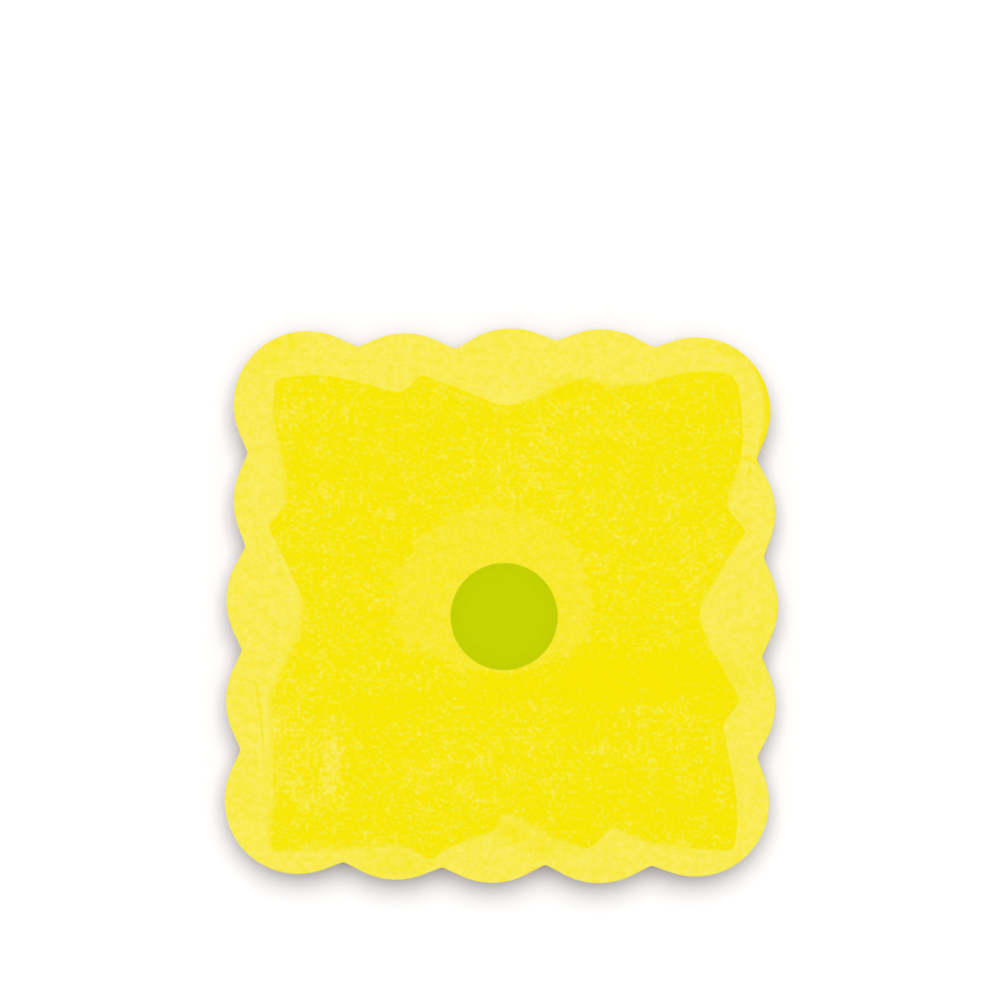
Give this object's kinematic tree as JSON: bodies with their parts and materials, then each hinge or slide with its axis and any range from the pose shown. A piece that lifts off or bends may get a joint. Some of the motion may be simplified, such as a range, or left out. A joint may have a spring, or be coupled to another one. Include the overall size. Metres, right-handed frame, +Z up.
{
  "type": "folded tissue paper garland",
  "caption": "flat square pile of glued die-cut tissue sheets with scalloped edges, in bands of colour, that pulls out into a long party garland",
  "frame": {"origin": "middle of the underside, on the surface that the folded garland lies on", "axes": "+Z up, out of the front of the pile; +Y towards the side that is held at the top; +X to the right as the front is seen"},
  "size_m": [0.1232, 0.1232, 0.0102],
  "materials": {
    "tissue_yellow": "matt, dyed in the pulp, slightly see-through tissue",
    "tissue_orange": "matt, dyed in the pulp, slightly see-through tissue",
    "tissue_purple": "matt, dyed in the pulp, slightly see-through tissue",
    "tissue_blue": "matt, dyed in the pulp, slightly see-through tissue",
    "tissue_green": "matt, dyed in the pulp, slightly see-through tissue",
    "tissue_pink": "matt, dyed in the pulp, slightly see-through tissue",
    "tissue_pile": "matt tissue edges, six colours in thin stripes",
    "disc_green": "matt, smooth dyed paper"
  },
  "bodies": {
    "root": {"colour_round_1": "tissue_pile", "colour_round_2": "tissue_pile", "colour_round_3": "tissue_pile", "colour_round_4": "tissue_pile", "colour_round_5": "tissue_pile", "colour_round_6": "tissue_pile", "colour_round_7": "tissue_pile", "star_sheet": "tissue_yellow", "centre_disc": "disc_green", "end_sheet": "tissue_yellow"}
  },
  "joints": []
}
